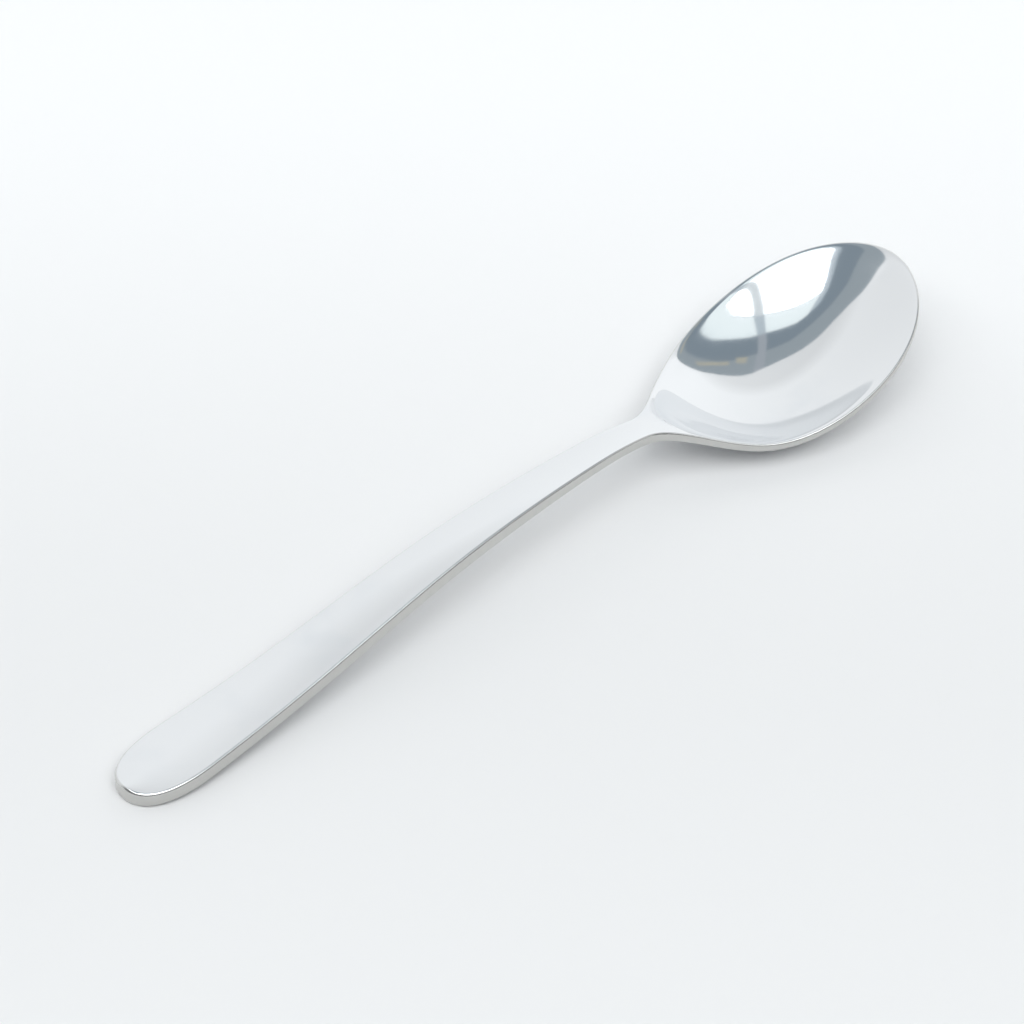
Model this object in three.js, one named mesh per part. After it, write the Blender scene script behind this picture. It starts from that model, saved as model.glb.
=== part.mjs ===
import * as THREE from 'three';

// A plain teaspoon, pressed and polished out of one sheet of stainless steel, lying on its back on a table.
// Millimetres, +Z up. +X runs from the end of the handle to the end of the bowl. The origin is on the table,
// under the middle of the spoon. The sheet is one piece on the real spoon: its handle, neck and bowl are
// three zones here, and neighbours share the cross-section where they meet.

// Lengths along the spoon
const handleLength = 90; // end of the handle to the narrowest point of the neck
const bowlLength = 50; // narrowest point of the neck to the end of the bowl
const handleEndLength = 10.5; // rounded end of the handle, up to its broadest line
const bowlEndLength = 20; // rounded end of the bowl, from its broadest line
const neckLength = 28; // zone between the handle and the bowl, back from the narrowest point

// Widths
const handleWidth = 10.5; // broadest line, near the end
const neckWidth = 4.5; // narrowest point
const bowlWidth = 29.4; // broadest line

// Sheet thickness, which cross-rolling thins towards the bowl
const handleThickness = 2.0;
const neckThickness = 1.5;
const bowlThickness = 1.2;

// Heights of the upper edge above the table, each with its distance from the handle's end or from the neck
const endToRiseLength = 26;
const riseHeight = 4.65;
const endToArchLength = 54;
const archHeight = 9.2;
const neckToCrestLength = 12;
const crestHeight = 10.35;
const neckToRootLength = 4;
const rootHeight = 8.2;
const neckToDipLength = 14;
const dipHeight = 4.6;
const neckToDeepestLength = 22;
const bowlEndHeight = 13.5;

// Surfaces
const bowlDepth = 4.0; // below the rim, at the deepest point
const hollowRunInLength = 10; // length over which the flat neck turns into the hollow bowl
const lipHeight = 0.5; // rise over which the wall of the bowl levels out into its rim
const handleCrownHeight = 0.2; // rise of the handle's upper face along its middle
const edgeChamferWidth = 0.25; // softened corners along both edges of the sheet
const restFlatDepth = 0.25; // worn flat under the bowl, which it stands on

// Pull of each arc of the outline towards its corner, as a part of that arc's own run
const handleEndPull = { acrossRatio: 0.63, alongRatio: 0.71 };
const taperPull = { leaveRatio: 0.31, arriveRatio: 0.06 };
const shoulderPull = { leaveRatio: 0.23, arriveRatio: 0.56 };
const bowlEndPull = { alongRatio: 0.7, acrossRatio: 0.41 };

// Facets: steps along each run of the outline, and points across the sheet
const handleEndSteps = 9;
const taperSteps = 17;
const neckSteps = 9;
const shoulderSteps = 20;
const bowlEndSteps = 13;
const pointsAcross = 15;
const pointedBelow = 1e-6; // half width under which a cross-section has narrowed to a line

const spoonLength = handleLength + bowlLength;
const neckStation = handleLength;
const deepestStation = neckStation + neckToDeepestLength;

// Parameter at which an arc that runs along +X reaches x
function parameterAt(curve, x) {
  let low = 0;
  let high = 1;
  for (let halving = 0; halving < 50; halving++) {
    const middle = (low + high) / 2;
    if (curve.getPoint(middle).x < x) {
      low = middle;
    } else {
      high = middle;
    }
  }
  return high;
}

// Half of the outline in plan, as four arcs from the end of the handle to the end of the bowl. The arc of the
// taper is walked in two runs, which meet where the handle's zone ends and the neck's begins.
function outlineRuns() {
  const handleEnd = new THREE.Vector2(0, 0);
  const handleBroad = new THREE.Vector2(handleEndLength, handleWidth / 2);
  const neck = new THREE.Vector2(neckStation, neckWidth / 2);
  const bowlBroad = new THREE.Vector2(spoonLength - bowlEndLength, bowlWidth / 2);
  const bowlEnd = new THREE.Vector2(spoonLength, 0);

  const taper = neck.clone().sub(handleBroad);
  const taperDirection = taper.clone().normalize();
  const shoulderRun = bowlBroad.x - neck.x;
  const along = (point, distance) => new THREE.Vector2(point.x + distance, point.y);
  const across = (point, distance) => new THREE.Vector2(point.x, point.y + distance);

  const handleEndArc = new THREE.CubicBezierCurve(
    handleEnd,
    across(handleEnd, handleEndPull.acrossRatio * handleBroad.y),
    handleBroad.clone().addScaledVector(taperDirection, -handleEndPull.alongRatio * handleEndLength),
    handleBroad,
  );
  const taperArc = new THREE.CubicBezierCurve(
    handleBroad,
    handleBroad.clone().addScaledVector(taper, taperPull.leaveRatio),
    along(neck, -taperPull.arriveRatio * taper.x),
    neck,
  );
  const shoulderArc = new THREE.CubicBezierCurve(
    neck,
    along(neck, shoulderPull.leaveRatio * shoulderRun),
    along(bowlBroad, -shoulderPull.arriveRatio * shoulderRun),
    bowlBroad,
  );
  const bowlEndArc = new THREE.CubicBezierCurve(
    bowlBroad,
    along(bowlBroad, bowlEndPull.alongRatio * bowlEndLength),
    across(bowlEnd, bowlEndPull.acrossRatio * bowlBroad.y),
    bowlEnd,
  );
  const neckStart = parameterAt(taperArc, neckStation - neckLength);

  return [
    { zone: 'handle', curve: handleEndArc, from: 0, to: 1, steps: handleEndSteps },
    { zone: 'handle', curve: taperArc, from: 0, to: neckStart, steps: taperSteps },
    { zone: 'neck', curve: taperArc, from: neckStart, to: 1, steps: neckSteps },
    { zone: 'bowl', curve: shoulderArc, from: 0, to: 1, steps: shoulderSteps },
    { zone: 'bowl', curve: bowlEndArc, from: 0, to: 1, steps: bowlEndSteps },
  ];
}

// Outward normal in plan of the half outline
function arcNormal(curve, t) {
  const { v0, v1, v2, v3 } = curve;
  const tangent = v1.clone().sub(v0).multiplyScalar((1 - t) ** 2);
  tangent.addScaledVector(v2.clone().sub(v1), 2 * (1 - t) * t);
  tangent.addScaledVector(v3.clone().sub(v2), t ** 2);
  tangent.normalize();
  return new THREE.Vector2(-tangent.y, tangent.x);
}

// Points of the half outline, each with its normal and zone, in order along the spoon. A zone also uses the
// last station of the zone before it.
function outlineStations() {
  const stations = [];
  for (const { zone, curve, from, to, steps } of outlineRuns()) {
    for (let step = stations.length ? 1 : 0; step <= steps; step++) {
      const t = THREE.MathUtils.lerp(from, to, step / steps);
      stations.push({ zone, point: curve.getPoint(t), normal: arcNormal(curve, t) });
    }
  }
  return stations;
}

// Natural cubic spline through points in order of x, as a function of x
function smoothCurve(points) {
  const last = points.length - 1;
  const bend = new Array(points.length).fill(0);
  const carry = new Array(points.length).fill(0);
  for (let i = 1; i < last; i++) {
    const before = points[i].x - points[i - 1].x;
    const after = points[i + 1].x - points[i].x;
    const share = before / (before + after);
    const pivot = share * bend[i - 1] + 2;
    const kink = (points[i + 1].y - points[i].y) / after - (points[i].y - points[i - 1].y) / before;
    bend[i] = (share - 1) / pivot;
    carry[i] = ((6 * kink) / (before + after) - share * carry[i - 1]) / pivot;
  }
  for (let i = last - 1; i > 0; i--) {
    bend[i] = bend[i] * bend[i + 1] + carry[i];
  }
  return (x) => {
    const right = Math.max(1, points.findIndex((point, i) => point.x >= x || i === last));
    const from = points[right - 1];
    const to = points[right];
    const span = to.x - from.x;
    const a = (to.x - x) / span;
    const b = 1 - a;
    const bow = (a ** 3 - a) * bend[right - 1] + (b ** 3 - b) * bend[right];
    return a * from.y + b * to.y + (bow * span ** 2) / 6;
  };
}

const stations = outlineStations();

function halfWidthSquared(x) {
  const right = Math.max(1, stations.findIndex(({ point }, i) => point.x >= x || i === stations.length - 1));
  const from = stations[right - 1].point;
  const to = stations[right].point;
  const t = (x - from.x) / (to.x - from.x);
  return THREE.MathUtils.lerp(from.y ** 2, to.y ** 2, t);
}

// The rim stands over the deepest point of the bowl so high that the bowl's underside reaches the table
const edgeHeight = smoothCurve([
  new THREE.Vector2(0, handleThickness),
  new THREE.Vector2(endToRiseLength, riseHeight),
  new THREE.Vector2(endToArchLength, archHeight),
  new THREE.Vector2(neckStation - neckToCrestLength, crestHeight),
  new THREE.Vector2(neckStation + neckToRootLength, rootHeight),
  new THREE.Vector2(neckStation + neckToDipLength, dipHeight),
  new THREE.Vector2(deepestStation, bowlDepth + bowlThickness - restFlatDepth),
  new THREE.Vector2(spoonLength, bowlEndHeight),
]);

function sheetThickness(x) {
  const thinned = THREE.MathUtils.smootherstep(x, endToArchLength, neckStation);
  const rolled = THREE.MathUtils.smootherstep(x, neckStation, deepestStation);
  const atNeck = THREE.MathUtils.lerp(handleThickness, neckThickness, thinned);
  return THREE.MathUtils.lerp(atNeck, bowlThickness, rolled);
}

// Share of the way from the flat neck to the hollow bowl
function hollowShare(x) {
  return THREE.MathUtils.smootherstep(x, neckStation, neckStation + hollowRunInLength);
}

// Rise of the handle's crown over the line between the two edges
function crownRise(x, y) {
  const widthSquared = halfWidthSquared(x);
  const crown = widthSquared > 0 ? handleCrownHeight * (1 - y ** 2 / widthSquared) : 0;
  return (1 - hollowShare(x)) * crown;
}

// Depth of the bowl's dish under that line: a parabola across the sheet, which levels out towards the rim
const deepestHalfWidthSquared = halfWidthSquared(deepestStation);
const parabolaDepth = Math.sqrt((bowlDepth + lipHeight) ** 2 - lipHeight ** 2);

function dishDepth(x, y) {
  const inside = halfWidthSquared(x) - y ** 2;
  const parabola = (hollowShare(x) * parabolaDepth * inside) / deepestHalfWidthSquared;
  return Math.hypot(parabola, lipHeight) - lipHeight;
}

function upperFace(x, y) {
  return edgeHeight(x) + crownRise(x, y) - dishDepth(x, y);
}

function underside(x, y) {
  return Math.max(0, edgeHeight(x) - dishDepth(x, y) - sheetThickness(x));
}

// One cross-section of the sheet, as a closed ring: the upper face from right to left as seen from the
// handle's end, the left edge, the underside from left to right, the right edge
function crossSection({ point, normal }) {
  const sheet = sheetThickness(point.x);
  const chamfer = Math.min(edgeChamferWidth, sheet / 3);
  const pointed = point.y < pointedBelow;
  const outerY = pointed ? 0 : point.y;
  const innerX = point.x - chamfer * normal.x;
  const innerY = pointed ? 0 : point.y - chamfer * normal.y;
  const upperEdge = edgeHeight(point.x) - chamfer;
  const lowerEdge = edgeHeight(point.x) - sheet + chamfer;

  const upper = [];
  const lower = [];
  for (let i = 0; i < pointsAcross; i++) {
    const y = innerY * ((2 * i) / (pointsAcross - 1) - 1);
    upper.push(new THREE.Vector3(innerX, y, upperFace(innerX, y)));
    lower.push(new THREE.Vector3(innerX, y, underside(innerX, y)));
  }
  const left = [
    new THREE.Vector3(point.x, outerY, upperEdge),
    new THREE.Vector3(point.x, outerY, lowerEdge),
  ];
  const right = [
    new THREE.Vector3(point.x, -outerY, lowerEdge),
    new THREE.Vector3(point.x, -outerY, upperEdge),
  ];
  const ring = [...upper, ...left, ...lower.toReversed(), ...right];
  return { upper, lower, left, right, ring, pointed };
}

// Closed solid over a run of cross-sections. Points that coincide become one vertex, so an end that
// narrows to a point closes by itself, and any other end gets a flat cap.
function zoneGeometry(sections) {
  const positions = [];
  const indices = [];
  const known = new Map();

  const vertex = (point) => {
    const key = point.toArray().map((value) => value.toFixed(6)).join(' ');
    if (!known.has(key)) {
      known.set(key, known.size);
      positions.push(...point.toArray());
    }
    return known.get(key);
  };
  const triangle = (a, b, c) => {
    const corners = [vertex(a), vertex(b), vertex(c)];
    if (new Set(corners).size === 3) {
      indices.push(...corners);
    }
  };
  const quad = (a, b, c, d) => {
    triangle(a, b, c);
    triangle(a, c, d);
  };
  const cap = ({ upper, lower, left, right }, facing) => {
    const face = facing < 0 ? quad : (a, b, c, d) => quad(d, c, b, a);
    for (let i = 0; i < pointsAcross - 1; i++) {
      face(upper[i], upper[i + 1], lower[i + 1], lower[i]);
    }
    face(upper.at(-1), left[0], left[1], lower.at(-1));
    face(lower[0], right[0], right[1], upper[0]);
  };

  for (let i = 0; i < sections.length - 1; i++) {
    const ring = sections[i].ring;
    const next = sections[i + 1].ring;
    for (let j = 0; j < ring.length; j++) {
      const k = (j + 1) % ring.length;
      quad(ring[j], next[j], next[k], ring[k]);
    }
  }
  if (!sections[0].pointed) {
    cap(sections[0], -1);
  }
  if (!sections.at(-1).pointed) {
    cap(sections.at(-1), 1);
  }

  const geometry = new THREE.BufferGeometry();
  geometry.setAttribute('position', new THREE.Float32BufferAttribute(positions, 3));
  geometry.setIndex(indices);
  geometry.computeVertexNormals();
  return geometry;
}

function polishedSteel() {
  return new THREE.MeshStandardMaterial({ color: 0xcfd2d4, roughness: 0.08, metalness: 1 });
}

const sections = stations.map(crossSection);

function zoneSections(name) {
  const first = stations.findIndex(({ zone }) => zone === name);
  const last = stations.findLastIndex(({ zone }) => zone === name);
  return sections.slice(Math.max(0, first - 1), last + 1);
}

const spoon = new THREE.Group();
for (const name of ['handle', 'neck', 'bowl']) {
  const zone = new THREE.Mesh(zoneGeometry(zoneSections(name)), polishedSteel());
  zone.name = name;
  spoon.add(zone);
}
spoon.position.x = -spoonLength / 2;

export default spoon;
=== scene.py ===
"""Polished teaspoon on a white table.

The spoon is one stamped sheet of stainless steel. A rail, the upper corner line of one edge of the sheet, is worked
out from the spoon's sizes, and a Geometry Nodes tree lays the sheet's cross-section along it and mirrors it.
Everything is in metres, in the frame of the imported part: +X from the handle's end to the bowl's end, +Z up.
"""

import math

import bpy
import numpy as np
from bpy.props import FloatProperty, FloatVectorProperty, IntProperty, PointerProperty
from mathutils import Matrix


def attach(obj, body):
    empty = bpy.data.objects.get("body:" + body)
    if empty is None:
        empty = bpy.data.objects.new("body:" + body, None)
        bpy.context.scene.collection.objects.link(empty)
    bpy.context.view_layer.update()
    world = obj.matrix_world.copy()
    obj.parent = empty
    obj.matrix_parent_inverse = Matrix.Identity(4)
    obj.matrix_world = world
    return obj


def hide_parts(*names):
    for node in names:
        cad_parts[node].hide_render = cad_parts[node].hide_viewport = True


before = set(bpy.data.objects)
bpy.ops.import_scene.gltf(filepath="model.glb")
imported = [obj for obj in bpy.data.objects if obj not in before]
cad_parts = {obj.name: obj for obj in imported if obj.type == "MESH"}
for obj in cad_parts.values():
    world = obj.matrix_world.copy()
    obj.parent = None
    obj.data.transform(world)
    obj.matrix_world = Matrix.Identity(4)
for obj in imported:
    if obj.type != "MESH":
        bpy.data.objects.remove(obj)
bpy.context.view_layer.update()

bl_info = {
    "name": "Polished teaspoon",
    "version": (1, 0, 0),
    "blender": (4, 5, 0),
    "location": "View3D > Sidebar > Teaspoon",
    "description": "Builds a stamped stainless-steel teaspoon and the white table it lies on",
    "category": "Object",
}

MM = 0.001
NODE_SPACING = 190  # from node to node in the node editor
COLOUR_A, COLOUR_B, COLOUR_OUT = 6, 7, 2  # sockets of a Mix node that mixes colours


def linear(hex_colour):
    """Turns an sRGB hex colour into the linear RGBA that Blender's sockets take."""
    channels = [int(hex_colour[i : i + 2], 16) / 255 for i in (1, 3, 5)]
    return [c / 12.92 if c <= 0.04045 else ((c + 0.055) / 1.055) ** 2.4 for c in channels] + [1.0]


def add_node(tree, kind, inputs=None, **settings):
    """Adds a node, sets its properties, and sets or links its inputs, which are keyed by name or number.

    A node given as an input is linked by its first output.
    """
    node = tree.nodes.new(kind)
    node.location.x = NODE_SPACING * len(tree.nodes)
    for name, value in settings.items():
        setattr(node, name, value)
    for key, value in (inputs or {}).items():
        if isinstance(value, bpy.types.Node):
            value = value.outputs[0]
        if isinstance(value, bpy.types.NodeSocket):
            tree.links.new(value, node.inputs[key])
        else:
            node.inputs[key].default_value = value
    return node


def emptied_tree(block):
    """The node tree of a new material or world, without the nodes that come with it."""
    block.use_nodes = True
    block.node_tree.nodes.clear()
    return block.node_tree


def length(name, description, millimetres):
    """A length that the user can change, given in millimetres and kept in metres."""
    return FloatProperty(name=name, description=description, default=millimetres * MM, unit="LENGTH", precision=5)


def ratio(name, description, default):
    """A share from 0 to 1 that the user can change."""
    return FloatProperty(name=name, description=description, default=default, min=0, max=1, subtype="FACTOR")


def level(name, description, default):
    """A brightness that the user can change, where 1 is white."""
    return FloatProperty(name=name, description=description, default=default, min=0)


def angle(name, description, degrees):
    """An angle that the user can change, given in degrees."""
    return FloatProperty(name=name, description=description, default=math.radians(degrees), subtype="ANGLE")


def colour(name, description, hex_colour):
    """A colour that the user can change, given as sRGB hex."""
    return FloatVectorProperty(
        name=name, description=description, default=linear(hex_colour), size=4, min=0, max=1, subtype="COLOR"
    )


class SpoonSizes(bpy.types.PropertyGroup):
    """Sizes of the stamped sheet."""

    handle_length: length("Handle length", "End of the handle to the narrowest point of the neck", 90)
    bowl_length: length("Bowl length", "Narrowest point of the neck to the end of the bowl", 50)
    handle_end_length: length("Handle end", "Rounded end of the handle, up to its broadest line", 10.5)
    bowl_end_length: length("Bowl end", "Rounded end of the bowl, from its broadest line", 20)
    handle_width: length("Handle width", "Broadest line of the handle, near its end", 10.5)
    neck_width: length("Neck width", "Narrowest point of the neck", 4.5)
    bowl_width: length("Bowl width", "Broadest line of the bowl", 29.4)

    handle_thickness: length("Handle thickness", "Sheet at the handle, as it was bought", 2.0)
    neck_thickness: length("Neck thickness", "Sheet at the neck", 1.5)
    bowl_thickness: length("Bowl thickness", "Sheet at the bowl, which cross-rolling has thinned", 1.2)
    edge_rounding: length("Edge rounding", "Radius that tumbling leaves on the corners of the edge", 0.33)

    rise_station: length("Rise station", "From the handle's end to where the handle has begun to rise", 26)
    rise_height: length("Rise height", "Upper edge over the table there", 4.65)
    arch_station: length("Arch station", "From the handle's end to the arch", 54)
    arch_height: length("Arch height", "Upper edge over the table there", 9.2)
    crest_before_neck: length("Crest before neck", "From the neck back to the highest line of the arch", 12)
    crest_height: length("Crest height", "Upper edge over the table there", 10.35)
    root_past_neck: length("Root past neck", "From the neck on to the root of the bowl", 4)
    root_height: length("Root height", "Upper edge over the table there", 8.2)
    dip_past_neck: length("Dip past neck", "From the neck on to the lowest line of the rim", 14)
    dip_height: length("Dip height", "Upper edge over the table there", 4.6)
    deepest_past_neck: length("Deepest past neck", "From the neck on to the deepest point of the bowl", 22)
    bowl_end_height: length("Bowl end height", "Rim over the table at the end of the bowl", 13.5)

    bowl_depth: length("Bowl depth", "Below the rim, at the deepest point", 4.0)
    hollow_run_in: length("Hollow run-in", "Length over which the flat neck turns into the hollow bowl", 10)
    lip_height: length("Lip height", "Rise over which the wall of the bowl levels out into its rim", 0.5)
    handle_crown: length("Handle crown", "Rise of the handle's upper face along its middle", 0.2)
    rest_flat_depth: length("Rest flat", "Depth of the worn flat that the bowl stands on", 0.25)
    rest_flat_blend: length("Rest flat blend", "Height over which that flat runs out into the round bowl", 0.15)

    handle_end_across: ratio("Handle end, across", "Pull of the handle end's arc at its tip", 0.63)
    handle_end_along: ratio("Handle end, along", "Pull of the handle end's arc at its broadest line", 0.71)
    taper_leave: ratio("Taper, leaving", "Pull of the taper's arc at the handle's broadest line", 0.31)
    taper_arrive: ratio("Taper, arriving", "Pull of the taper's arc at the neck", 0.06)
    shoulder_leave: ratio("Shoulder, leaving", "Pull of the shoulder's arc at the neck", 0.23)
    shoulder_arrive: ratio("Shoulder, arriving", "Pull of the shoulder's arc at the bowl's broadest line", 0.56)
    bowl_end_along: ratio("Bowl end, along", "Pull of the bowl end's arc at its broadest line", 0.7)
    bowl_end_across: ratio("Bowl end, across", "Pull of the bowl end's arc at its tip", 0.41)

    steps_along: IntProperty(name="Steps along", description="Steps along each arc of the outline", default=96, min=8)
    points_across: IntProperty(name="Points across", description="Steps across half of a face", default=30, min=4)
    edge_steps: IntProperty(name="Edge steps", description="Steps round each corner of the edge", default=8, min=2)


class SteelFinish(bpy.types.PropertyGroup):
    """Finish of the steel."""

    face_colour: colour("Polished face", "Mirror-polished 18/10 stainless steel", "#E9EBED")
    film_colour: colour("Film", "The same steel under a thin film of handling", "#E4E7EA")
    edge_colour: colour("Ground edge", "Edge of the sheet, ground and tumbled", "#D2D1CE")
    face_roughness: ratio("Face roughness", "Roughness of the polished faces", 0.07)
    film_roughness: ratio("Film roughness", "Roughness under the film", 0.15)
    edge_roughness: ratio("Edge roughness", "Roughness of the ground edge", 0.3)


class StageSetup(bpy.types.PropertyGroup):
    """Table, overhead window and camera."""

    table_colour: colour("Table", "White-painted table near the camera", "#E8E8E8")
    # Painted light: the far part of the table is painted whiter than the near part, standing in for the brighter
    # light that falls there.
    far_table_painted_light_colour: colour("Table, far part", "The same table further off", "#FEFEFE")
    ceiling_colour: colour("Ceiling", "Unlit ceiling round the window", "#86939D")
    beam_colour: colour("Ceiling beam", "Strip along the edge of the ceiling, which catches some light", "#9EA8AE")
    post_colour: colour("Window post, foot", "Post of the window, below the panes", "#A8AFB6")
    bar_colour: colour("Window post", "Post of the window, between the shaded panes", "#BFCBD3")
    bright_bar_colour: colour("Window post, bright", "The same post between the bright panes", "#DEE5E8")
    pane_colour: colour("Window pane", "Daylight in the panes", "#FBFDFF")
    pane_strength: level("Pane strength", "Brightness of the panes", 2.9)
    shaded_pane_colour: colour("Shaded pane", "Daylight in the far row of panes", "#F1FAFB")
    shaded_pane_strength: level("Shaded pane strength", "Brightness of the far row of panes", 1.12)
    shelf_colour: colour("Shelf", "Pale shelf beyond the window", "#B9B7AA")
    sky_colour: colour("Surroundings", "White surroundings of the table", "#FCFEFF")
    right_side: level("Right side", "Brightness of the surroundings to the right", 1.12)
    left_side: level("Left side", "Brightness of the surroundings to the left", 0.9)
    near_low: level("Near side, low", "Share of that brightness low behind the camera", 0.15)
    near_high: level("Near side, high", "Share of that brightness high behind the camera", 3.1)
    far_high: level("Far side, high", "Share of that brightness on the far side, beside the ceiling", 0.84)
    dark_side: level("Dark side", "Share of that brightness that is left low on the right", 0.6)
    ceiling_height: FloatProperty(
        name="Ceiling height", description="Ceiling over the table", default=1.3, min=0.7, unit="LENGTH"
    )
    camera_place: FloatVectorProperty(
        name="Camera", description="Place of the camera", default=(-0.29599, -0.3061, 0.36119), subtype="TRANSLATION"
    )
    camera_heading: angle("Heading", "Way the camera looks, from +X towards +Y", 46.292)
    camera_dip: angle("Dip", "How far the camera looks down", 39.816)
    camera_lens: FloatProperty(name="Lens", description="Focal length in millimetres", default=147.66, min=10)


def ease(x, start, end):
    """Runs from 0 to 1 between start and end, with no kink in slope or bend at either."""
    t = np.clip((x - start) / (end - start), 0, 1)
    return t**3 * (t * (6 * t - 15) + 10)


def natural_spline(knots):
    """Height as a smooth function of the distance along the spoon, through knots of (distance, height)."""
    at, height = np.array(knots).T
    step = np.diff(at)
    slope = np.diff(height) / step
    matrix = np.eye(len(at))
    kink = np.zeros(len(at))
    for i in range(1, len(at) - 1):
        matrix[i, i - 1 : i + 2] = step[i - 1], 2 * (step[i - 1] + step[i]), step[i]
        kink[i] = 6 * (slope[i] - slope[i - 1])
    bend = np.linalg.solve(matrix, kink)

    def curve(x):
        i = np.clip(np.searchsorted(at, x) - 1, 0, len(step) - 1)
        a = (at[i + 1] - x) / step[i]
        b = 1 - a
        bow = ((a**3 - a) * bend[i] + (b**3 - b) * bend[i + 1]) * step[i] ** 2 / 6
        return a * height[i] + b * height[i + 1] + bow

    return curve


def outline(sizes, steps):
    """Half of the spoon's outline in plan, from the handle's end to the bowl's end: points and inward normals."""
    whole = sizes.handle_length + sizes.bowl_length
    handle_end = np.array((0, 0))
    handle_broad = np.array((sizes.handle_end_length, sizes.handle_width / 2))
    neck = np.array((sizes.handle_length, sizes.neck_width / 2))
    bowl_broad = np.array((whole - sizes.bowl_end_length, sizes.bowl_width / 2))
    bowl_end = np.array((whole, 0))

    taper = neck - handle_broad
    taper_way = taper / np.linalg.norm(taper)
    shoulder_run = bowl_broad[0] - neck[0]
    along = np.array((1, 0))
    across = np.array((0, 1))
    arcs = (
        (
            handle_end,
            handle_end + across * sizes.handle_end_across * handle_broad[1],
            handle_broad - taper_way * sizes.handle_end_along * sizes.handle_end_length,
            handle_broad,
        ),
        (
            handle_broad,
            handle_broad + taper * sizes.taper_leave,
            neck - along * sizes.taper_arrive * taper[0],
            neck,
        ),
        (
            neck,
            neck + along * sizes.shoulder_leave * shoulder_run,
            bowl_broad - along * sizes.shoulder_arrive * shoulder_run,
            bowl_broad,
        ),
        (
            bowl_broad,
            bowl_broad + along * sizes.bowl_end_along * sizes.bowl_end_length,
            bowl_end + across * sizes.bowl_end_across * bowl_broad[1],
            bowl_end,
        ),
    )

    points, inward = [], []
    for a, b, c, d in arcs:
        t = np.linspace(0, 1, steps + 1)[1 if points else 0 :, None]
        points.append((1 - t) ** 3 * a + 3 * (1 - t) ** 2 * t * b + 3 * (1 - t) * t**2 * c + t**3 * d)
        tangent = (1 - t) ** 2 * (b - a) + 2 * (1 - t) * t * (c - b) + t**2 * (d - c)
        tangent /= np.linalg.norm(tangent, axis=1, keepdims=True)
        inward.append(np.stack((tangent[:, 1], -tangent[:, 0]), axis=1))
    return np.concatenate(points), np.concatenate(inward)


def edge_line(sizes):
    """Height of the sheet's upper edge over the table, along the spoon.

    Over the deepest point the rim stands so high that the bowl's underside reaches the table.
    """
    neck = sizes.handle_length
    rim_over_deepest = sizes.bowl_depth + sizes.bowl_thickness - sizes.rest_flat_depth
    return natural_spline(
        (
            (0, sizes.handle_thickness),
            (sizes.rise_station, sizes.rise_height),
            (sizes.arch_station, sizes.arch_height),
            (neck - sizes.crest_before_neck, sizes.crest_height),
            (neck + sizes.root_past_neck, sizes.root_height),
            (neck + sizes.dip_past_neck, sizes.dip_height),
            (neck + sizes.deepest_past_neck, rim_over_deepest),
            (neck + sizes.bowl_length, sizes.bowl_end_height),
        )
    )


FINE_STEPS = 4000  # along each arc, where the width of the spoon is looked up


def rail_mesh(sizes):
    """The upper corner line of the sheet's left edge, with what the cross-section needs at each station."""
    neck = sizes.handle_length
    deepest = neck + sizes.deepest_past_neck
    points, inward = outline(sizes, sizes.steps_along)
    fine_points, _ = outline(sizes, FINE_STEPS)
    height = edge_line(sizes)

    def half_width_squared(x):
        return np.interp(x, fine_points[:, 0], fine_points[:, 1] ** 2)

    inner_x = points[:, 0] + inward[:, 0] * sizes.edge_rounding
    thinned = ease(inner_x, sizes.arch_station, neck)
    rolled = ease(inner_x, neck, deepest)
    at_neck = sizes.handle_thickness + (sizes.neck_thickness - sizes.handle_thickness) * thinned
    hollow = ease(inner_x, neck, neck + sizes.hollow_run_in)
    parabola_depth = math.sqrt((sizes.bowl_depth + sizes.lip_height) ** 2 - sizes.lip_height**2)
    stations = {
        "inner_height": height(inner_x),
        "half_width_squared": half_width_squared(inner_x),
        "thickness": at_neck + (sizes.bowl_thickness - at_neck) * rolled,
        "crown_bend": (1 - hollow) * sizes.handle_crown / half_width_squared(inner_x),
        "dish_bend": hollow * parabola_depth / half_width_squared(deepest),
    }

    middle = (neck + sizes.bowl_length) / 2
    corners = np.column_stack((points[:, 0] - middle, points[:, 1], height(points[:, 0])))
    mesh = bpy.data.meshes.new("spoon_rail")
    mesh.from_pydata(corners.tolist(), [(i, i + 1) for i in range(len(corners) - 1)], [])
    for name, values in stations.items():
        mesh.attributes.new(name, "FLOAT", "POINT").data.foreach_set("value", values.astype(np.float32))
    flat_inward = np.column_stack((inward, np.zeros(len(inward)))).astype(np.float32)
    mesh.attributes.new("inward", "FLOAT_VECTOR", "POINT").data.foreach_set("vector", flat_inward.ravel())
    return mesh


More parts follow.
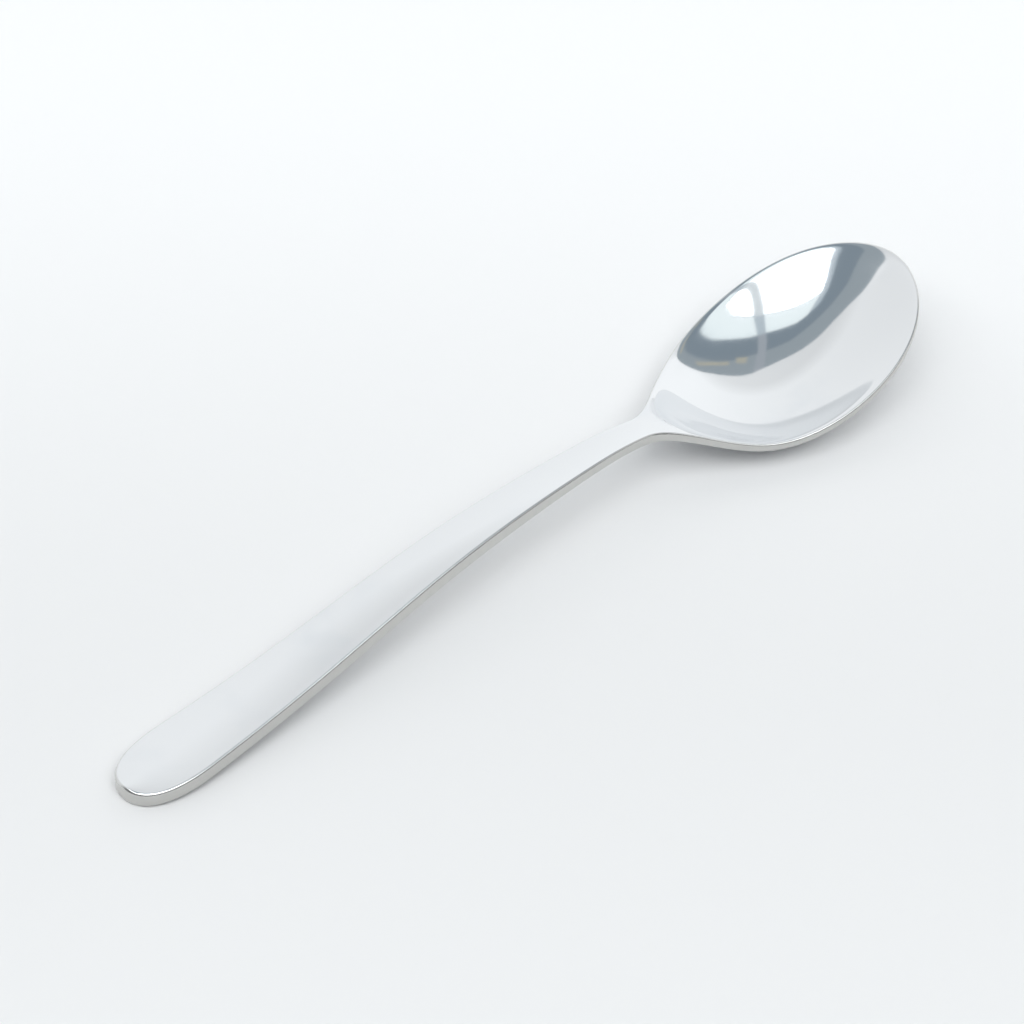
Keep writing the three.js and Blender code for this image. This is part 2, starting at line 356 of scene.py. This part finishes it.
def sheet_tree():
    """Geometry Nodes tree that lays the sheet's cross-section along the rail, and mirrors it.

    Half of a section runs from the middle of the upper face out to the edge, round its two corners, and back under
    the sheet to the middle. A grid has one column of such points for each station of the rail.
    """
    tree = bpy.data.node_groups.new("Stamped sheet", "GeometryNodeTree")
    for name, kind in (
        ("Rail", "NodeSocketGeometry"),
        ("Points across", "NodeSocketInt"),
        ("Edge steps", "NodeSocketInt"),
        ("Edge rounding", "NodeSocketFloat"),
        ("Lip height", "NodeSocketFloat"),
        ("Rest flat blend", "NodeSocketFloat"),
        ("Merge distance", "NodeSocketFloat"),
        ("Steel", "NodeSocketMaterial"),
    ):
        tree.interface.new_socket(name, in_out="INPUT", socket_type=kind)
    tree.interface.new_socket("Sheet", in_out="OUTPUT", socket_type="NodeSocketGeometry")
    given = add_node(tree, "NodeGroupInput").outputs

    # Station and row of each point of the grid. The lower rows repeat the upper ones in reverse.
    stations = add_node(tree, "GeometryNodeAttributeDomainSize", {"Geometry": given["Rail"]}).outputs["Point Count"]
    half_steps = add_node(
        tree, "ShaderNodeMath", {0: given["Points across"], 1: given["Edge steps"]}, operation="ADD"
    )
    last_row = add_node(tree, "ShaderNodeMath", {0: half_steps, 1: 2, 2: 1}, operation="MULTIPLY_ADD")
    rows = add_node(tree, "ShaderNodeMath", {0: last_row, 1: 1}, operation="ADD")
    index = add_node(tree, "GeometryNodeInputIndex")
    station = add_node(tree, "FunctionNodeIntegerMath", {0: index, 1: rows}, operation="DIVIDE_FLOOR")
    row = add_node(tree, "FunctionNodeIntegerMath", {0: index, 1: rows}, operation="MODULO")
    from_end = add_node(tree, "ShaderNodeMath", {0: last_row, 1: row}, operation="SUBTRACT")
    step = add_node(tree, "ShaderNodeMath", {0: row, 1: from_end}, operation="MINIMUM")
    is_lower = add_node(tree, "ShaderNodeMath", {0: row, 1: from_end}, operation="GREATER_THAN")

    # How far across the face a point is, and how far it has turned round the corner of the edge
    share = add_node(tree, "ShaderNodeMath", {0: step, 1: given["Points across"]}, operation="DIVIDE")
    across = add_node(tree, "ShaderNodeMath", {0: share, 1: 1}, operation="MINIMUM")
    turn = add_node(
        tree,
        "ShaderNodeMapRange",
        {"Value": step, "From Min": given["Points across"], "From Max": half_steps, "To Max": math.pi / 2},
    )
    turned_in = add_node(tree, "ShaderNodeMath", {0: turn}, operation="SINE")
    turned_down = add_node(tree, "ShaderNodeMath", {0: turn}, operation="COSINE")
    inset_share = add_node(tree, "ShaderNodeMath", {0: 1, 1: turned_in}, operation="SUBTRACT")
    drop_share = add_node(tree, "ShaderNodeMath", {0: 1, 1: turned_down}, operation="SUBTRACT")
    inset = add_node(tree, "ShaderNodeMath", {0: inset_share, 1: given["Edge rounding"]}, operation="MULTIPLY")
    drop = add_node(tree, "ShaderNodeMath", {0: drop_share, 1: given["Edge rounding"]}, operation="MULTIPLY")

    # What the rail holds at the station
    rail = {}
    for name, kind in (
        ("inward", "FLOAT_VECTOR"),
        ("inner_height", "FLOAT"),
        ("half_width_squared", "FLOAT"),
        ("thickness", "FLOAT"),
        ("crown_bend", "FLOAT"),
        ("dish_bend", "FLOAT"),
    ):
        held = add_node(tree, "GeometryNodeInputNamedAttribute", {"Name": name}, data_type=kind)
        rail[name] = add_node(
            tree,
            "GeometryNodeSampleIndex",
            {"Geometry": given["Rail"], "Value": held, "Index": station},
            data_type=kind,
        )
    corner = add_node(
        tree,
        "GeometryNodeSampleIndex",
        {"Geometry": given["Rail"], "Value": add_node(tree, "GeometryNodeInputPosition"), "Index": station},
        data_type="FLOAT_VECTOR",
    )

    # Place in plan, inset square to the outline, and what is left of the width outside it
    plan = add_node(tree, "ShaderNodeVectorMath", {0: rail["inward"], 1: inset, 2: corner}, operation="MULTIPLY_ADD")
    inner = add_node(
        tree,
        "ShaderNodeVectorMath",
        {0: rail["inward"], 1: given["Edge rounding"], 2: corner},
        operation="MULTIPLY_ADD",
    )
    plan = add_node(tree, "ShaderNodeSeparateXYZ", {0: plan}).outputs
    inner = add_node(tree, "ShaderNodeSeparateXYZ", {0: inner}).outputs
    y = add_node(tree, "ShaderNodeMath", {0: plan["Y"], 1: across}, operation="MULTIPLY")
    inner_y = add_node(tree, "ShaderNodeMath", {0: inner["Y"], 1: across}, operation="MULTIPLY")
    inner_y_squared = add_node(tree, "ShaderNodeMath", {0: inner_y, 1: 2}, operation="POWER")
    outside = add_node(
        tree, "ShaderNodeMath", {0: rail["half_width_squared"], 1: inner_y_squared}, operation="SUBTRACT"
    )
    outside = add_node(tree, "ShaderNodeMath", {0: outside, 1: inset_share}, operation="MULTIPLY")

    # A crown on the handle, and a dish in the bowl, whose wall levels out into the rim
    crown = add_node(tree, "ShaderNodeMath", {0: rail["crown_bend"], 1: outside}, operation="MULTIPLY")
    parabola = add_node(tree, "ShaderNodeMath", {0: rail["dish_bend"], 1: outside}, operation="MULTIPLY")
    lip = add_node(tree, "ShaderNodeCombineXYZ", {"X": parabola, "Y": given["Lip height"]})
    dish = add_node(tree, "ShaderNodeVectorMath", {0: lip}, operation="LENGTH").outputs["Value"]
    dish = add_node(tree, "ShaderNodeMath", {0: dish, 1: given["Lip height"]}, operation="SUBTRACT")

    # Height of the upper face, and of the underside, which rests on the table
    edge = add_node(tree, "ShaderNodeMix", {"Factor": inset_share, "A": plan["Z"], "B": rail["inner_height"]})
    dished = add_node(tree, "ShaderNodeMath", {0: edge, 1: dish}, operation="SUBTRACT")
    upper = add_node(tree, "ShaderNodeMath", {0: dished, 1: crown}, operation="ADD")
    upper = add_node(tree, "ShaderNodeMath", {0: upper, 1: drop}, operation="SUBTRACT")
    lower = add_node(tree, "ShaderNodeMath", {0: dished, 1: rail["thickness"]}, operation="SUBTRACT")
    lower = add_node(tree, "ShaderNodeMath", {0: lower, 1: drop}, operation="ADD")
    lower = add_node(
        tree, "ShaderNodeMath", {0: lower, 1: 0, 2: given["Rest flat blend"]}, operation="SMOOTH_MAX"
    )
    z = add_node(tree, "ShaderNodeMix", {"Factor": is_lower, "A": upper, "B": lower})
    place = add_node(tree, "ShaderNodeCombineXYZ", {"X": plan["X"], "Y": y, "Z": z})

    # Left half, right half, and one closed sheet of both
    grid = add_node(tree, "GeometryNodeMeshGrid", {"Vertices X": stations, "Vertices Y": rows})
    marked = add_node(
        tree,
        "GeometryNodeStoreNamedAttribute",
        {"Geometry": grid, "Name": "edge", "Value": turned_in},
        data_type="FLOAT",
        domain="POINT",
    )
    left = add_node(tree, "GeometryNodeSetPosition", {"Geometry": marked, "Position": place})
    mirrored = add_node(tree, "GeometryNodeTransform", {"Geometry": left, "Scale": (1, -1, 1)})
    right = add_node(tree, "GeometryNodeFlipFaces", {"Mesh": mirrored})
    halves = add_node(tree, "GeometryNodeJoinGeometry", {"Geometry": left})
    tree.links.new(right.outputs[0], halves.inputs[0])
    closed = add_node(
        tree, "GeometryNodeMergeByDistance", {"Geometry": halves, "Distance": given["Merge distance"]}
    )
    smooth = add_node(tree, "GeometryNodeSetShadeSmooth", {"Geometry": closed})
    real = add_node(tree, "GeometryNodeRealizeInstances", {"Geometry": smooth})
    sheet = add_node(tree, "GeometryNodeSetMaterial", {"Geometry": real, "Material": given["Steel"]})
    add_node(tree, "NodeGroupOutput", {"Sheet": sheet})
    return tree


# Sizes of the steel's patterns, and the part of each noise that shows
FILM_PATCH = 14 * MM
FILM_NOISE = (0.5, 0.78)
HAIRLINE_LENGTH = 9 * MM
HAIRLINE_WIDTH = 0.16 * MM
HAIRLINE_TURN = math.radians(8)
HAIRLINE_NOISE = (0.3, 0.7)
HAIRLINE_ROUGHNESS = (-0.015, 0.02)
HAIRLINE_BUMP = 0.0004 * MM
WAVE_LENGTH = 8 * MM
WAVE_BUMP = 0.004 * MM


def polished_steel(finish):
    """Mirror-polished 18/10 stainless steel with ground edges.

    The faces give near-sharp reflections, a little wavy from the polishing wheel, with hairlines along the spoon,
    and dulled here and there by a thin film of handling. The edges of the sheet are satin.
    """
    material = bpy.data.materials.new("mirror_polished_18_10_stainless")
    tree = emptied_tree(material)
    place = add_node(tree, "ShaderNodeTexCoord").outputs["Object"]
    edge = add_node(tree, "ShaderNodeAttribute", attribute_name="edge").outputs["Fac"]

    # Film of handling, in patches about 14 mm across with 2 mm detail
    patches = add_node(
        tree, "ShaderNodeTexNoise", {"Vector": place, "Scale": 1 / FILM_PATCH, "Detail": 3, "Roughness": 0.6}
    )
    film = add_node(
        tree,
        "ShaderNodeMapRange",
        {"Value": patches, "From Min": FILM_NOISE[0], "From Max": FILM_NOISE[1]},
        interpolation_type="SMOOTHSTEP",
    )
    face_colour = add_node(
        tree,
        "ShaderNodeMix",
        {"Factor": film, COLOUR_A: finish.face_colour, COLOUR_B: finish.film_colour},
        data_type="RGBA",
    )
    base_colour = add_node(
        tree,
        "ShaderNodeMix",
        {"Factor": edge, COLOUR_A: face_colour.outputs[COLOUR_OUT], COLOUR_B: finish.edge_colour},
        data_type="RGBA",
    )

    # Hairlines of the last polish are about 0.02 mm wide, and are drawn 0.16 mm wide, so that they show
    stretched = add_node(
        tree,
        "ShaderNodeMapping",
        {
            "Vector": place,
            "Rotation": (0, 0, HAIRLINE_TURN),
            "Scale": (1 / HAIRLINE_LENGTH, 1 / HAIRLINE_WIDTH, 1 / HAIRLINE_WIDTH),
        },
    )
    hairlines = add_node(tree, "ShaderNodeTexNoise", {"Vector": stretched, "Scale": 1, "Detail": 2})

    face_roughness = add_node(
        tree,
        "ShaderNodeMapRange",
        {"Value": film, "To Min": finish.face_roughness, "To Max": finish.film_roughness},
    )
    roughness = add_node(
        tree, "ShaderNodeMix", {"Factor": edge, "A": face_roughness, "B": finish.edge_roughness}
    )
    line_roughness = add_node(
        tree,
        "ShaderNodeMapRange",
        {
            "Value": hairlines,
            "From Min": HAIRLINE_NOISE[0],
            "From Max": HAIRLINE_NOISE[1],
            "To Min": HAIRLINE_ROUGHNESS[0],
            "To Max": HAIRLINE_ROUGHNESS[1],
        },
    )
    roughness = add_node(tree, "ShaderNodeMath", {0: roughness, 1: line_roughness}, operation="ADD")

    # Waves of the polishing wheel, about 8 mm long, and the hairlines on them. The noise takes up about half of each
    # bump's height, so the waves are about 2 micrometres high.
    waves = add_node(tree, "ShaderNodeTexNoise", {"Vector": place, "Scale": 1 / WAVE_LENGTH, "Detail": 1})
    wavy = add_node(tree, "ShaderNodeBump", {"Strength": 1, "Distance": WAVE_BUMP, "Height": waves})
    lined = add_node(
        tree, "ShaderNodeBump", {"Strength": 1, "Distance": HAIRLINE_BUMP, "Height": hairlines, "Normal": wavy}
    )

    steel = add_node(
        tree,
        "ShaderNodeBsdfPrincipled",
        {"Base Color": base_colour.outputs[COLOUR_OUT], "Metallic": 1, "Roughness": roughness, "Normal": lined},
    )
    add_node(tree, "ShaderNodeOutputMaterial", {"Surface": steel})
    return material


MERGE_DISTANCE = 0.0001 * MM  # within which points of the two halves are one


class TEASPOON_OT_spoon(bpy.types.Operator):
    """Stamp the spoon out of one sheet of polished steel"""

    bl_idname = "teaspoon.spoon"
    bl_label = "Spoon"
    bl_options = {"REGISTER", "UNDO"}

    def execute(self, context):
        sizes = context.scene.teaspoon_sizes
        rail = rail_mesh(sizes)
        spoon = bpy.data.objects.new("teaspoon", rail)
        context.collection.objects.link(spoon)

        values = {
            "Points across": sizes.points_across,
            "Edge steps": sizes.edge_steps,
            "Edge rounding": sizes.edge_rounding,
            "Lip height": sizes.lip_height,
            "Rest flat blend": sizes.rest_flat_blend,
            "Merge distance": MERGE_DISTANCE,
            "Steel": polished_steel(context.scene.teaspoon_finish),
        }
        modifier = spoon.modifiers.new("Stamped sheet", "NODES")
        modifier.node_group = sheet_tree()
        for item in modifier.node_group.interface.items_tree:
            if item.in_out == "INPUT" and item.name in values:
                modifier[item.identifier] = values[item.name]

        stamped = spoon.evaluated_get(context.evaluated_depsgraph_get())
        spoon_mesh = bpy.data.meshes.new_from_object(stamped)
        spoon.modifiers.remove(modifier)
        spoon.data = spoon_mesh
        spoon_mesh.name = "teaspoon"
        bpy.data.meshes.remove(rail)

        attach(spoon, "root")
        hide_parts("bowl", "neck", "handle")
        return {"FINISHED"}


def glowing(name, tint, strength):
    """A lit surface of the surroundings, which the steel mirrors."""
    material = bpy.data.materials.new(name)
    tree = emptied_tree(material)
    glow = add_node(tree, "ShaderNodeEmission", {"Color": tint, "Strength": strength})
    add_node(tree, "ShaderNodeOutputMaterial", {"Surface": glow})
    return material


TABLE_REACH = 4.0  # to each side
TABLE_HEIGHT = -0.02 * MM  # just clear of the spoon's underside
# Painted light: over this distance the table is painted whiter, standing in for the brighter light further off.
TABLE_PAINTED_LIGHT_FADE = (-0.04, 0.14)  # distance beyond the middle of the spoon over which the table grows whiter
TABLE_ROUGHNESS = 0.3


def white_table(stage, far_way):
    """Matt white paint, with painted light: whiter further off, standing in for the brighter light on the table's far
    part. Seen from below it is clear, so that the spoon's underside shows.
    """
    material = bpy.data.materials.new("matt_white_table_paint_and_painted_light")
    tree = emptied_tree(material)
    place = add_node(tree, "ShaderNodeTexCoord").outputs["Object"]
    distance = add_node(
        tree, "ShaderNodeVectorMath", {0: place, 1: far_way}, operation="DOT_PRODUCT"
    ).outputs["Value"]
    # Painted light: share of the painted whiter far colour, growing away from the camera.
    far = add_node(
        tree,
        "ShaderNodeMapRange",
        {"Value": distance, "From Min": TABLE_PAINTED_LIGHT_FADE[0], "From Max": TABLE_PAINTED_LIGHT_FADE[1]},
        interpolation_type="SMOOTHSTEP",
    )
    tint = add_node(
        tree,
        "ShaderNodeMix",
        {"Factor": far, COLOUR_A: stage.table_colour, COLOUR_B: stage.far_table_painted_light_colour},
        data_type="RGBA",
    )
    paint = add_node(
        tree, "ShaderNodeBsdfDiffuse", {"Color": tint.outputs[COLOUR_OUT], "Roughness": TABLE_ROUGHNESS}
    )
    from_below = add_node(tree, "ShaderNodeNewGeometry").outputs["Backfacing"]
    to_camera = add_node(tree, "ShaderNodeLightPath").outputs["Is Camera Ray"]
    clear = add_node(tree, "ShaderNodeMath", {0: from_below, 1: to_camera}, operation="MULTIPLY")
    surface = add_node(
        tree, "ShaderNodeMixShader", {0: clear, 1: paint, 2: add_node(tree, "ShaderNodeBsdfTransparent")}
    )
    add_node(tree, "ShaderNodeOutputMaterial", {"Surface": surface})
    return material


def flat_card(name, corners, material):
    """A flat stage card through corners that run round its edge."""
    mesh = bpy.data.meshes.new(name)
    mesh.from_pydata([tuple(corner) for corner in corners], [], [tuple(range(len(corners)))])
    mesh.materials.append(material)
    card = bpy.data.objects.new(name, mesh)
    bpy.context.collection.objects.link(card)
    return card


# Where the brightness of the surroundings changes, as parts of a way one unit long: up for the first two, then ahead,
# to the right, and to the dark side
NEAR_RISE = (0.5, 0.78)
FAR_RISE = (0.75, 0.85)
NEAR_TO_FAR = (-0.35, 0.15)
LEFT_TO_RIGHT = (-0.8, 0.5)
DARK_SIDE_EDGE = (0.5, 0.68)
DARK_SIDE_TURN = math.radians(95)  # from the camera's heading, to the right


def white_surroundings(stage, far_way, right_way):
    """White surroundings, dim low behind the camera and bright high behind it, and darker low on the right."""
    world = bpy.data.worlds.new("white_surroundings")
    tree = emptied_tree(world)
    way = add_node(tree, "ShaderNodeTexCoord").outputs["Generated"]
    ahead = add_node(tree, "ShaderNodeVectorMath", {0: way, 1: far_way}, operation="DOT_PRODUCT").outputs["Value"]
    aside = add_node(tree, "ShaderNodeVectorMath", {0: way, 1: right_way}, operation="DOT_PRODUCT").outputs["Value"]
    up = add_node(tree, "ShaderNodeSeparateXYZ", {0: way}).outputs["Z"]
    near_level = add_node(
        tree,
        "ShaderNodeMapRange",
        {
            "Value": up,
            "From Min": NEAR_RISE[0],
            "From Max": NEAR_RISE[1],
            "To Min": stage.near_low,
            "To Max": stage.near_high,
        },
        interpolation_type="SMOOTHSTEP",
    )
    far_level = add_node(
        tree,
        "ShaderNodeMapRange",
        {"Value": up, "From Min": FAR_RISE[0], "From Max": FAR_RISE[1], "To Min": 1, "To Max": stage.far_high},
    )
    far_share = add_node(
        tree,
        "ShaderNodeMapRange",
        {
            "Value": ahead,
            "From Min": NEAR_TO_FAR[0],
            "From Max": NEAR_TO_FAR[1],
            "To Min": near_level,
            "To Max": far_level,
        },
        interpolation_type="SMOOTHSTEP",
    )
    side_level = add_node(
        tree,
        "ShaderNodeMapRange",
        {
            "Value": aside,
            "From Min": LEFT_TO_RIGHT[0],
            "From Max": LEFT_TO_RIGHT[1],
            "To Min": stage.left_side,
            "To Max": stage.right_side,
        },
    )
    dark_heading = stage.camera_heading - DARK_SIDE_TURN
    dark_way = (math.cos(dark_heading), math.sin(dark_heading), 0)
    towards_dark = add_node(
        tree, "ShaderNodeVectorMath", {0: way, 1: dark_way}, operation="DOT_PRODUCT"
    ).outputs["Value"]
    lit_share = add_node(
        tree,
        "ShaderNodeMapRange",
        {
            "Value": towards_dark,
            "From Min": DARK_SIDE_EDGE[0],
            "From Max": DARK_SIDE_EDGE[1],
            "To Min": 1,
            "To Max": stage.dark_side,
        },
        interpolation_type="SMOOTHSTEP",
    )
    brightness = add_node(tree, "ShaderNodeMath", {0: far_share, 1: side_level}, operation="MULTIPLY")
    brightness = add_node(tree, "ShaderNodeMath", {0: brightness, 1: lit_share}, operation="MULTIPLY")
    sky = add_node(tree, "ShaderNodeBackground", {"Color": stage.sky_colour, "Strength": brightness})
    add_node(tree, "ShaderNodeOutputWorld", {"Surface": sky})
    return world


CARD_GAP = 0.01  # from one layer of overhead cards down to the next
# Cards over the bowl: name, glow, layer below the ceiling, and an outline in ceiling heights, to the right of the
# bowl's deepest point and away from the camera
OVERHEAD_CARDS = (
    (
        "ceiling",
        "unlit_ceiling",
        0,
        (
            (0.95, 0.6), (0.76, 0.56), (0.65, 0.53), (0.47, 0.48), (0.31, 0.46), (0.2, 0.45),
            (0.09, 0.42), (0.0, 0.37), (-0.14, 0.33), (-0.3, 0.31), (-0.44, 0.27), (-0.57, 0.2),
            (-0.7, 0.16), (-0.83, 0.15), (-0.89, 0.13), (-0.92, 0.1), (-0.92, 0.06), (-0.89, 0.0),
            (-0.84, -0.1), (-0.78, -0.3), (-0.5, -0.5), (-0.1, -0.54), (0.35, -0.46), (0.7, -0.2),
            (0.95, 0.3),
        ),
    ),
    (
        "ceiling_beam",
        "ceiling_beam",
        1,
        (
            (0.94, 0.59), (0.76, 0.55), (0.65, 0.52), (0.47, 0.47), (0.31, 0.45), (0.2, 0.44),
            (0.09, 0.41), (0.0, 0.36), (-0.14, 0.32), (-0.3, 0.3), (-0.44, 0.26), (-0.57, 0.19),
            (-0.7, 0.15), (-0.83, 0.14), (-0.88, 0.12), (-0.91, 0.09), (-0.91, 0.06), (-0.88, 0.0),
            (-0.83, -0.1), (-0.77, -0.3), (-0.72, -0.27), (-0.7, -0.13), (-0.65, -0.05), (-0.52, 0.02),
            (-0.35, 0.09), (-0.19, 0.15), (-0.03, 0.17), (0.13, 0.2), (0.3, 0.26), (0.49, 0.31),
            (0.66, 0.34), (0.94, 0.4),
        ),
    ),
    (
        "shelf",
        "pale_shelf",
        2,
        (
            (0.62, 0.39), (0.47, 0.32), (0.31, 0.27), (0.3, 0.31), (0.46, 0.36), (0.62, 0.44),
        ),
    ),
    (
        "shelf_box",
        "pale_shelf",
        2,
        (
            (0.25, 0.22), (0.15, 0.21), (0.15, 0.28), (0.24, 0.28),
        ),
    ),
    (
        "window_far_row",
        "shaded_daylight",
        1,
        (
            (0.6, 0.09), (0.49, 0.09), (0.38, 0.06), (0.28, 0.04), (0.17, 0.03), (0.02, 0.01),
            (-0.22, 0.01), (-0.32, -0.02), (-0.4, -0.07), (-0.44, -0.13), (-0.24, -0.12), (0.07, -0.13),
            (0.33, -0.12), (0.36, -0.2), (0.36, -0.3), (0.5, -0.25), (0.6, -0.1),
        ),
    ),
    (
        "window_near_row",
        "daylight",
        1,
        (
            (0.33, -0.13), (0.07, -0.14), (-0.24, -0.13), (-0.44, -0.14), (-0.47, -0.22), (-0.47, -0.38),
            (-0.1, -0.46), (0.2, -0.44), (0.36, -0.35), (0.36, -0.2),
        ),
    ),
    (
        "window_post",
        "window_post",
        2,
        (
            (0.1, 0.02), (0.13, -0.06), (0.16, -0.13), (0.07, -0.13), (0.06, -0.09), (0.03, 0.01),
        ),
    ),
    (
        "window_post_bright",
        "window_post_bright",
        2,
        (
            (0.16, -0.13), (0.18, -0.21), (0.21, -0.29), (0.27, -0.38), (0.21, -0.42), (0.14, -0.32),
            (0.11, -0.26), (0.08, -0.18), (0.07, -0.13),
        ),
    ),
    (
        "window_jamb",
        "window_post",
        2,
        (
            (-0.3, -0.01), (-0.41, -0.06), (-0.47, -0.13), (-0.5, -0.22), (-0.5, -0.42), (-0.45, -0.4),
            (-0.44, -0.22), (-0.41, -0.14), (-0.36, -0.08),
        ),
    ),
    (
        "window_post_foot",
        "window_post_foot",
        2,
        (
            (0.08, 0.41), (0.07, 0.16), (0.09, 0.05), (0.1, 0.02), (0.03, 0.01), (0.01, 0.08),
            (0.0, 0.18), (-0.01, 0.37),
        ),
    ),
)


class TEASPOON_OT_stage(bpy.types.Operator):
    """Set the white table, the overhead window, the surroundings and the camera"""

    bl_idname = "teaspoon.stage"
    bl_label = "Stage"
    bl_options = {"REGISTER", "UNDO"}

    def execute(self, context):
        stage = context.scene.teaspoon_stage
        sizes = context.scene.teaspoon_sizes
        deepest_x = (sizes.handle_length - sizes.bowl_length) / 2 + sizes.deepest_past_neck
        far_way = np.array((math.cos(stage.camera_heading), math.sin(stage.camera_heading), 0))
        right_way = np.array((math.sin(stage.camera_heading), -math.cos(stage.camera_heading), 0))

        flat_card(
            "table",
            [(x * TABLE_REACH, y * TABLE_REACH, TABLE_HEIGHT) for x, y in ((-1, -1), (1, -1), (1, 1), (-1, 1))],
            white_table(stage, far_way),
        )

        glows = {
            "unlit_ceiling": (stage.ceiling_colour, 1),
            "ceiling_beam": (stage.beam_colour, 1),
            "pale_shelf": (stage.shelf_colour, 1),
            "window_post_foot": (stage.post_colour, 1),
            "window_post": (stage.bar_colour, 1),
            "window_post_bright": (stage.bright_bar_colour, 1),
            "daylight": (stage.pane_colour, stage.pane_strength),
            "shaded_daylight": (stage.shaded_pane_colour, stage.shaded_pane_strength),
        }
        materials = {name: glowing(name, tint, strength) for name, (tint, strength) in glows.items()}
        for name, glow, layer, card_outline in OVERHEAD_CARDS:
            height = stage.ceiling_height - layer * CARD_GAP
            above_bowl = np.array((deepest_x, 0, height))
            corners = [above_bowl + height * (right * right_way + far * far_way) for right, far in card_outline]
            card = flat_card(name, corners, materials[glow])
            card.visible_camera = False

        context.scene.world = white_surroundings(stage, far_way, right_way)

        camera = bpy.data.objects.new("camera", bpy.data.cameras.new("camera"))
        context.collection.objects.link(camera)
        camera.location = stage.camera_place
        camera.rotation_euler = (math.pi / 2 - stage.camera_dip, 0, stage.camera_heading - math.pi / 2)
        camera.data.lens = stage.camera_lens
        context.scene.camera = camera
        context.scene.view_settings.view_transform = "Standard"
        return {"FINISHED"}


class TEASPOON_PT_panel(bpy.types.Panel):
    """Sizes, finish and stage of the teaspoon"""

    bl_label = "Teaspoon"
    bl_idname = "TEASPOON_PT_panel"
    bl_space_type = "VIEW_3D"
    bl_region_type = "UI"
    bl_category = "Teaspoon"

    def draw(self, context):
        for title, group, operator in (
            ("Sizes", context.scene.teaspoon_sizes, TEASPOON_OT_spoon),
            ("Finish", context.scene.teaspoon_finish, None),
            ("Stage", context.scene.teaspoon_stage, TEASPOON_OT_stage),
        ):
            box = self.layout.box()
            box.label(text=title)
            for name in group.__annotations__:
                box.prop(group, name)
            if operator:
                box.operator(operator.bl_idname)


CLASSES = (
    SpoonSizes,
    SteelFinish,
    StageSetup,
    TEASPOON_OT_spoon,
    TEASPOON_OT_stage,
    TEASPOON_PT_panel,
)
SCENE_GROUPS = {
    "teaspoon_sizes": SpoonSizes,
    "teaspoon_finish": SteelFinish,
    "teaspoon_stage": StageSetup,
}


def register():
    for cls in CLASSES:
        bpy.utils.register_class(cls)
    for name, group in SCENE_GROUPS.items():
        setattr(bpy.types.Scene, name, PointerProperty(type=group))


def unregister():
    for name in SCENE_GROUPS:
        delattr(bpy.types.Scene, name)
    for cls in reversed(CLASSES):
        bpy.utils.unregister_class(cls)


def main():
    register()
    bpy.ops.teaspoon.spoon()
    bpy.ops.teaspoon.stage()


if __name__ == "__main__":
    main()
